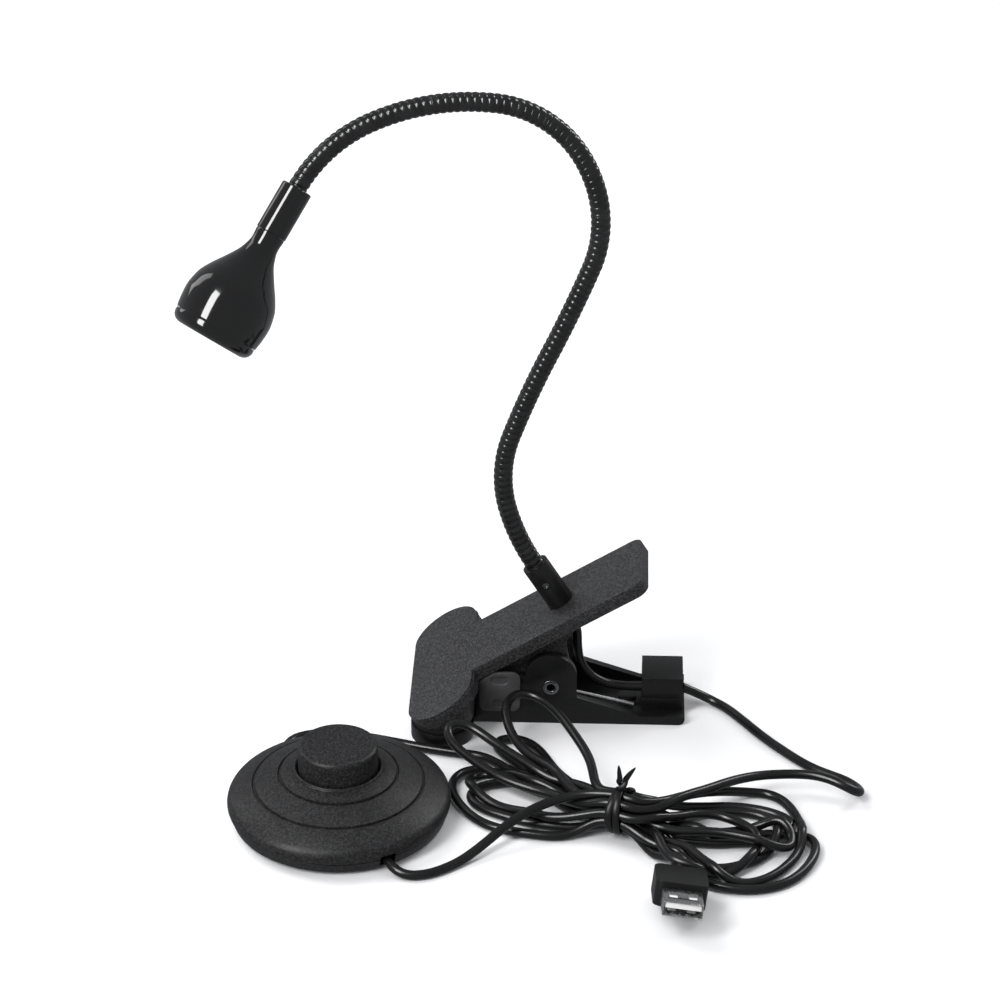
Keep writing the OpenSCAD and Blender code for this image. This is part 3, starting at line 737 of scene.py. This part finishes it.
def make_cords():
    """Lamp to foot switch and foot switch to plug, tied up together in one hank."""
    lamp = thread(
        [(LAMP_LEAD, FIRM), (LOOP_LOW[::-1], FIRM), (RIGHT_UNDER, SLACK), (LEFT_OUTER[::-1], SLACK),
         (RIGHT_OUTER, SLACK), (LEFT_INNER[::-1], SLACK), (RIGHT_BACK[::-1], SLACK),
         (FRONT_LEAD[::-1], FIRM)],
        LAMP_STRANDS, 1)
    supply = thread(
        [(REAR_LEAD, FIRM), (RIGHT_TOP[::-1], SLACK), (LEFT_MIDDLE[::-1], SLACK),
         (RIGHT_INNER, SLACK), (LEFT_BACK, SLACK), (RIGHT_MIDDLE[::-1], SLACK),
         (LOOP_HIGH, FIRM), (PLUG_LEAD[::-1], FIRM)],
        SUPPLY_STRANDS, -1)
    lamp_path, supply_path = settle([lamp, supply])
    lamp_cord = add_cord("lamp_cord", lamp_path)
    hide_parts("lamp_lead", "front_lead", "loop_low", "cord_hank")
    supply_cord = add_cord("supply_cord", supply_path)
    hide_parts("rear_lead", "plug_lead", "loop_high")


# ---------------------------------------------------------------- gooseneck

JAW_FRONT = mm(46)
JAW_TILT = math.radians(32)
FRONT_Z = mm(8)
SOCKET_S = mm(57.5)
SOCKET_LEN = mm(16)
# Length, bend and roll of each stretch, in millimetres and degrees, as on the frame
NECK = [
    (22, -17, 0), (27, -34.5, 0), (32, -5.5, 0), (32, 4, 0),
    (37, 52, -9), (33, 53, 15), (39, 30, 8), (30, 36, 11.5),
]
NECK_R = mm(3.0)
RIDGE_PITCH = mm(2.2)
RIDGE_DEPTH = mm(0.5)
CREST_UP = mm(0.1)
RING_STEP = mm(0.24)
NECK_IN_SOCKET = mm(11)
NECK_IN_COLLAR = mm(8)
# A distance on each side of a hinge at which the sleeve's frame is read
BEND_REACH = mm(9)


def on_plate(s, t):
    """A frame on the upper jaw's plate: its Z is the plate's normal, its X runs up the plate."""
    place = Matrix.Rotation(-JAW_TILT, 4, "Y")
    place.translation = (-JAW_FRONT, 0, FRONT_Z)
    return place @ Matrix.Translation((s, 0, t))


def neck_stretches():
    """(start distance, length, bend, frame at the start, roll so far) of each stretch."""
    place = on_plate(SOCKET_S, SOCKET_LEN)
    place = place @ Matrix.Rotation(math.radians(-90), 4, "Y") @ Matrix.Rotation(math.radians(90), 4, "X")
    out, distance, rolled = [], 0, 0
    for length, bend, roll in NECK:
        length, bend, roll = mm(length), math.radians(bend), math.radians(roll)
        place = place @ Matrix.Rotation(roll, 4, "X")
        rolled += roll
        out.append((distance, length, bend, place, rolled))
        distance += length
        place = place @ arc_step(length, bend, length)
    return out, distance, place


def arc_step(length, bend, along):
    """How far and how much the centreline has turned after a distance along one arc."""
    r, a = length / bend, bend * along / length
    step = Matrix.Rotation(a, 4, "Z")
    step.translation = (r * math.sin(a), r * (1 - math.cos(a)), 0)
    return step


STRETCHES, NECK_LENGTH, NECK_END = neck_stretches()


def neck_frame(distance):
    """The frame at a distance along the gooseneck, free of the stretches' rolls."""
    start, length, bend, place, rolled = max(
        (s for s in STRETCHES if s[0] <= max(distance, 0)), key=lambda s: s[0])
    if distance < 0:
        return place @ Matrix.Translation((distance, 0, 0))
    if distance > NECK_LENGTH:
        step = arc_step(length, bend, length) @ Matrix.Translation((distance - NECK_LENGTH, 0, 0))
    else:
        step = arc_step(length, bend, distance - start)
    return place @ step @ Matrix.Rotation(-rolled, 4, "X")


def ridge(turns):
    """Round wire with a narrow groove between the turns, from 0 to 1."""
    across = 2 * (turns % 1) - 1
    return math.sqrt(max(0, 1 - across ** 2)) ** 0.8


def neck_piece(name, start, end, node):
    """One length of the wound sleeve; the winding runs on from piece to piece."""
    count = round((end - start) / RING_STEP)
    places = [start + (end - start) * i / count for i in range(count + 1)]
    frames = [neck_frame(d) for d in places]

    def radius(i, angle):
        turns = places[i] / RIDGE_PITCH - angle / math.tau
        return NECK_R + CREST_UP - RIDGE_DEPTH * (1 - ridge(turns))

    piece = tube(name, frames, radius, 28)
    piece.data.set_sharp_from_angle(angle=math.radians(180))
    return finish_as(piece, node, ride=False)


def make_gooseneck():
    """Seven lengths of sleeve, each from the middle of a stretch to the next and over one hinge."""
    middles = [start + length / 2 for start, length, *_ in STRETCHES]
    bounds = [-NECK_IN_SOCKET, *middles[1:-1], NECK_LENGTH + NECK_IN_COLLAR]
    joints = [j for j in frame["joints"] if j["name"].startswith("neck")]
    for i, joint in enumerate(joints):
        piece = neck_piece(f"neck_sleeve_{i + 1}", bounds[i], bounds[i + 1], f"neck_{i + 1}")
        at = STRETCHES[i + 1][0]
        neck_frame(at - BEND_REACH).translation
        neck_frame(at + BEND_REACH).translation
        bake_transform(piece)
    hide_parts("neck_8")


# ---------------------------------------------------------------- lamp head

# The head stands on the neck's end. Radii and heights are in millimetres, the collar's from the
# collar's foot and those of all the other parts from the bell's foot
HEAD = NECK_END @ Matrix.Rotation(math.radians(90), 4, "Y")
COLLAR_LEN = 16
COLLAR_R = 4.9
COLLAR_BORE_R = 3.05
COLLAR_SCREW_UP = 5
COLLAR_SCREW_R = 1.05
BELL = HEAD @ Matrix.Translation(mm(0, 0, COLLAR_LEN))
BELL_LEN = 37
BELL_BORE_R = 1.6
SEAM = 33
SHELL = 1.2
MOUTH_R = 11
# The bell's outer line: radius and height, from its foot over the shoulder to the seam
BELL_LINE = [
    (4.75, 0.2), (4.55, 2.5), (4.6, 4.2), (5.0, 5.8), (5.8, 8), (6.9, 10), (8.7, 12.8),
    (10.0, 14.7), (11.2, 16.5), (13.1, 20), (14.1, 24), (14.3, 26.5), (14.05, 30), (13.6, 33),
]


def make_collar():
    """The sleeve between gooseneck and bell, with the hole of its set screw."""
    outline = [(COLLAR_BORE_R, 0), (COLLAR_R - 0.5, 0), *arc((COLLAR_R - 0.5, 0.5), 0.5, -90, 0),
               *arc((COLLAR_R - 0.25, COLLAR_LEN - 0.3), 0.25, 0, 90), (COLLAR_BORE_R, COLLAR_LEN - 0.05)]
    body = lathe("head_collar_turned", outline, HEAD, 128)
    hole_at = HEAD @ Matrix.Translation(mm(0, 0, COLLAR_SCREW_UP)) @ Matrix.Rotation(math.radians(90), 4, "Y")
    hole = [(0, 3.4), (COLLAR_SCREW_R, 3.4), (COLLAR_SCREW_R, 6), (0, 6)]
    finish_as(cut(body, [lathe("drill", hole, hole_at, 32)]), "head_collar")


def make_bell():
    """A thin shell, open at the seam, on a solid foot."""
    skin = [(float(r), float(z)) for r, z in spline(BELL_LINE, 6)]
    seam_r = skin[-1][0]
    lip = [(seam_r - 0.15, SEAM - 0.02), (seam_r - SHELL, SEAM)]
    back = [(r - SHELL, z) for r, z in reversed(skin) if 7 < z < SEAM - 0.5]
    outline = [(BELL_BORE_R, 0.02), (4.6, 0.02), *skin[1:-1], *lip, *back, (BELL_BORE_R, 6)]
    finish_as(lathe("head_bell", outline, BELL, 160), "head_shell")


def make_rim():
    """The ring that closes the bell and rolls over into the mouth."""
    outline = [(12.55, SEAM - 2), (12.6, SEAM + 0.06), (13.35, SEAM + 0.1),
               *arc((10.35, SEAM + 0.85), 3.1, 2, 84, 14),
               (MOUTH_R - 0.3, BELL_LEN - 0.05), (MOUTH_R - 1, BELL_LEN - 0.3), (MOUTH_R - 0.7, SEAM + 2)]
    finish_as(lathe("head_rim", outline, BELL, 160), "head_bezel")


def make_window():
    """The clear window, flat behind and slightly domed in front."""
    dome = [(10 * (1 - i / 8), 35.1 + 0.35 * math.sin(math.pi / 2 * i / 8)) for i in range(1, 9)]
    outline = [(0, 33.2), (10.1, 33.2), (10.2, 33.3), (10.2, 35), (10.1, 35.1), *dome]
    finish_as(lathe("head_window", outline, BELL, 96), "head_lens")


def make_reflector():
    """A cup round the emitters whose inner wall flares towards the window."""
    flare = [(8.4 + 1.2 * (1 - i / 5) ** 0.6, 27.6 + 5.4 * (1 - i / 5)) for i in range(1, 5)]
    outline = [(8.4, 27.6), (9.2, 27.6), (10.15, 33.15), (9.7, 33.15), *flare]
    finish_as(lathe("head_reflector", outline, BELL, 96), "reflector")


# ---------------------------------------------------------------- clip

# Width and steps of the rounding on each part's edges
CLIP_EDGES = {
    "upper_jaw": (0.35, 3), "lower_jaw": (0.3, 3), "lower_pad": (0.4, 2), "upper_pad": (0.3, 2),
    "side_grip_near": (0.35, 2), "side_grip_far": (0.35, 2), "cord_clamp_base": (0.25, 2),
    "cord_clamp_cap": (0.45, 2), "pivot_pin": (0.15, 2), "neck_socket": (0.3, 2),
    "socket_nut": (0.2, 2), "socket_screw": (0.08, 2), "cord_clamp_screws": (0.1, 2),
}
# Parts whose finish is not the one of their slot
OWN_FINISH = {
    "lower_jaw": "smooth_black", "neck_socket": "smooth_black", "cord_clamp_base": "smooth_black",
    # The pivot pin and set screw take the darker steel, which partly paints the shade of their holes
    "cord_clamp_cap": "smooth_black", "pivot_pin": "dark_steel_painted_shade", "socket_screw": "dark_steel_painted_shade",
    "plug_shell": "plug_steel",
}

COIL_R = mm(4.2)
WIRE_R = mm(0.7)
COIL_TURNS = 5
COIL_HALF = mm(5.5)
COIL_STEPS = 40
LEG_LOW = mm(27, 0, 2.8)
LEG_HIGH_S = mm(74)
PLATE_THICK = mm(2)
LEG_CLEAR = mm(0.1)


def round_edges(edges):
    """Rounds CAD nodes' edges and gives them their finish."""
    for node, (width, segments) in edges.items():
        finish_as(rounded_copy(node, width, segments), node, MATERIALS.get(OWN_FINISH.get(node)))


def make_spring():
    """The clip's spring: one leg in the channel, a coil round the pin, one leg under the handle."""
    hub = JOINT_AT["clamp_open"]
    high = on_plate(LEG_HIGH_S, -PLATE_THICK - WIRE_R - LEG_CLEAR).translation
    turn_in, turn_out = [
        math.atan2(leg.z - hub.z, leg.x) + side * math.acos(COIL_R / (leg - hub).length)
        for leg, side in ((LEG_LOW, -1), (high, 1))]
    sweep = math.tau * COIL_TURNS + (math.tau + turn_in - turn_out) % math.tau
    count = COIL_STEPS * COIL_TURNS
    path = [Vector((LEG_LOW.x, -COIL_HALF, LEG_LOW.z))]
    for i in range(count + 1):
        a = turn_in - sweep * i / count
        path.append(Vector((COIL_R * math.cos(a), -COIL_HALF + 2 * COIL_HALF * i / count,
                            hub.z + COIL_R * math.sin(a))))
    path.append(Vector((high.x, COIL_HALF, high.z)))
    piece = tube("clip_spring", path_frames(path), WIRE_R, 16)
    finish_as(piece, "torsion_spring", ride=False)
    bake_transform(piece)


def make_inner_lead():
    """The lead from the neck's socket down to the cord clamp, in its resting shape."""
    path = even(spline(INNER_LEAD, 10), mm(0.8))
    piece = tube("lead_in_clip", path_frames(path), CORD_D / 2, 20)
    finish_as(piece, "inner_lead", ride=False)
    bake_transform(piece)


# ---------------------------------------------------------------- foot switch

SWITCH_AT = mm(-65, -69, 0)
# Radii and heights in millimetres
SWITCH_R = 35
SWITCH_SEAM = 4.8
BUTTON_R = 12.5
BUTTON_TOP = 26.3
BUTTON_WALL = 1.8
# The cord ports' directions in degrees
PORTS = (-60, 120)
PORT_Z = 3.9
PORT_SIZE = mm(10, 5.2, 3.8)
SWITCH_EDGES = {
    "switch_feet": (0.25, 2), "switch_screws": (0.1, 2), "switch_body": (0.3, 2),
    "switch_clamps": (0.2, 2), "switch_terminals": (0.08, 2),
}


def port_cutters():
    """Blocks that open the two cord ports in the rim."""
    out = []
    for angle in PORTS:
        place = Matrix.Translation(SWITCH_AT) @ Matrix.Rotation(math.radians(angle), 4, "Z")
        place = place @ Matrix.Translation(mm(SWITCH_R - 1, 0, PORT_Z))
        out.append(block("port_cut", PORT_SIZE, place))
    return out


def make_cover(place):
    """The domed cover: a rounded rim, two stepped grooves and a raised lip round the button."""
    rim = [(SWITCH_R - 0.25, SWITCH_SEAM), *arc((SWITCH_R - 3.8, 6.1), 3.8, -8, 60, 12), (30, 11.35)]
    low_groove = [(27.1, 12.5), (26.85, 12.1), (26.3, 12.2), (26.15, 13.0)]
    slope = [(24, 14), (21, 15.2), (19, 15.9)]
    high_groove = [(18.75, 15.4), (18.25, 15.5), (18.1, 16.4)]
    lip = [(16.5, 17.1), (14.6, 17.7), (14.2, 17.75), *arc((13.55, 18.0), 0.45, 0, 170, 6), (12.8, 17.6)]
    inside = [(12.8, 15.6), (17.6, 14.2), (25.8, 11), (31.6, 8.4), (SWITCH_R - 2.2, 7),
              (SWITCH_R - 2.2, SWITCH_SEAM)]
    outline = rim + low_groove + slope + high_groove + lip + inside
    finish_as(cut(lathe("switch_top", outline, place, 192), port_cutters()), "switch_cover")


def make_base(place):
    """The shallow pan under the cover, drawn in a little at the seam."""
    outline = [(0, 1), (SWITCH_R - 2.4, 1), *arc((SWITCH_R - 2.2, 1.8), 0.8, -90, -20),
               (SWITCH_R - 0.55, SWITCH_SEAM - 0.5), (SWITCH_R - 0.9, SWITCH_SEAM - 0.2),
               (SWITCH_R - 1.2, SWITCH_SEAM), (SWITCH_R - 2.6, SWITCH_SEAM),
               (SWITCH_R - 2.6, 2.6), (0, 2.6)]
    finish_as(cut(lathe("switch_bottom", outline, place, 160), port_cutters()), "switch_base")


def make_button(place):
    """A hollow cap with a slightly crowned top and a flange that holds it under the cover."""
    top, r, wall = BUTTON_TOP, BUTTON_R, BUTTON_WALL
    crown = [(r * i / 6, top - 0.12 * (i / 6) ** 2) for i in range(6)]
    edge = [(r - 1.3, top - 0.15), *arc((r - 1.3, top - 1.45), 1.3, 80, 0, 8)]
    flange = [(r, 15), (r + 1.8, 15), (r + 1.8, 13.6), (r - wall, 13.6)]
    inside = [(r - wall, top - wall), (0, top - wall)]
    finish_as(lathe("switch_cap", crown + edge + flange + inside, place, 128), "switch_button")


def make_switch():
    place = Matrix.Translation(SWITCH_AT)
    make_cover(place)
    make_base(place)
    make_button(place)
    round_edges(SWITCH_EDGES)
    spring = finish_as(dress(copy_of("switch_spring")), "switch_spring", ride=False)
    low, high = [pick(v.co.z for v in spring.data.vertices) for pick in (min, max)]
    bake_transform(spring)


# ---------------------------------------------------------------- plug and tie

PLUG_EDGES = {
    "plug_body": (0.9, 4), "plug_relief": (0.15, 2), "plug_shell": (0.12, 2),
    "plug_tongue": (0.1, 2), "plug_contacts": (0.05, 1),
}

TIE_R = mm(7.15)
TIE_TURNS = 2
TIE_STEPS = 96
TIE_SPREAD = mm(3.0)
TIE_STARTS = math.radians(75)
TIE_WIDTH = mm(2.3)
TIE_THICK = mm(0.9)
# Side, lean along the hank and height of each tail
TAILS = ((-1, mm(-0.4), mm(9.6)), (1, mm(4.2), mm(8.6)))
TAIL_FOOT = mm(7.3)
TAIL_STEPS = 29
TAIL_WIDTH = mm(1.9)
TAIL_THICK = mm(0.8)
STRIP_AROUND = 12


def flat_strip(name, places, width, thick):
    """A flat ribbon along frames; the frames' Y runs across it."""
    verts = []
    for i, place in enumerate(places):
        w = width(i / (len(places) - 1)) if callable(width) else width
        for k in range(STRIP_AROUND):
            a = math.tau * k / STRIP_AROUND
            verts.append(place @ Vector((0, w / 2 * math.cos(a), thick / 2 * math.sin(a))))
    return add_mesh(name, verts, ring_faces(len(places), STRIP_AROUND, True), STRIP_SHARP)


def strip_frames(points, across):
    """Frames along a path whose Y stays as near as it can to one direction."""
    out = []
    for i, here in enumerate(points):
        ahead = (points[min(i + 1, len(points) - 1)] - points[max(i - 1, 0)]).normalized()
        side = (across - ahead * across.dot(ahead)).normalized()
        out.append(Matrix((ahead, side, ahead.cross(side))).transposed().to_4x4())
        out[-1].translation = here
    return out


def tie_band(turn):
    """The path round the hank, a little uneven."""
    path = []
    for i in range(TIE_STEPS + 1):
        a = TIE_STARTS + TIE_TURNS * math.tau * i / TIE_STEPS
        r = TIE_R + mm(0.12) * math.sin(2.5 * a)
        along = TIE_SPREAD * (i / TIE_STEPS - 0.5) + mm(0.5) * math.sin(1.5 * a)
        path.append(turn @ Vector((along, r * math.cos(a), r * math.sin(a))))
    return path


def tie_tail(turn, side, lean, height):
    """The path of one tail: twisted round the other at its foot, then apart and up."""
    path = []
    for i in range(TAIL_STEPS + 1):
        t = i / TAIL_STEPS
        twist = math.pi * (1 + side) / 2 + math.tau * 0.75 * min(2.2 * t, 1)
        apart = mm(0.7) * (1 - t)
        path.append(turn @ Vector((apart * math.cos(twist) + lean * t ** 1.5,
                                   apart * math.sin(twist) + side * mm(1.2) * t * t,
                                   TAIL_FOOT + height * t)))
    return path


def tail_width(t):
    """Full at the foot and pointed at the tip."""
    return TAIL_WIDTH * (1 - 0.75 * t ** 4)


def make_tie():
    """A flat coated wire twice round the hank, twisted once and its ends turned up."""
    turn = Matrix.Translation(WAIST_AT) @ Matrix.Rotation(WAIST_TURN, 4, "Z")
    along = turn.to_3x3() @ Vector((1, 0, 0))
    band = flat_strip("tie_band", strip_frames(tie_band(turn), along), TIE_WIDTH, TIE_THICK)
    finish_as(band, "twist_tie")
    for letter, (side, lean, height) in zip("ab", TAILS):
        frames = strip_frames(tie_tail(turn, side, lean, height), along)
        tail = flat_strip("tie_tail_" + letter, frames, tail_width, TAIL_THICK)
        tail.data.materials.append(MATERIALS["tie_plastic"])
        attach(tail, "base")


# ---------------------------------------------------------------- everything

FLOOR_HALF = 6.0


def finish_cad_nodes():
    """Gives every CAD node its finish, which shows where no piece stands for the node."""
    for node, thing in frame["nodes"].items():
        thing.data.materials.clear()
        thing.data.materials.append(MATERIALS[SLOT_OF[node]])


def add_floor():
    """A plain pale floor that glossy parts do not mirror."""
    s = Shader("pale_floor", (0.9, 0.9, 0.91), 0.55)
    s.vary("Roughness", s.noise(mm(60), 3), 0.5, 0.62)
    corners = [(x * FLOOR_HALF, y * FLOOR_HALF, 0) for x, y in ((-1, -1), (1, -1), (1, 1), (-1, 1))]
    floor = add_mesh("floor", corners, [(0, 1, 2, 3)])
    floor.data.materials.append(s.material)
    floor.visible_glossy = False


MATERIALS = make_materials()
add_camera()
round_edges(PLUG_EDGES)
make_cords()
make_tie()
make_gooseneck()
make_collar()
make_bell()
make_rim()
make_window()
make_reflector()
round_edges(CLIP_EDGES)
make_spring()
make_inner_lead()
make_switch()
finish_cad_nodes()
add_floor()
add_studio()
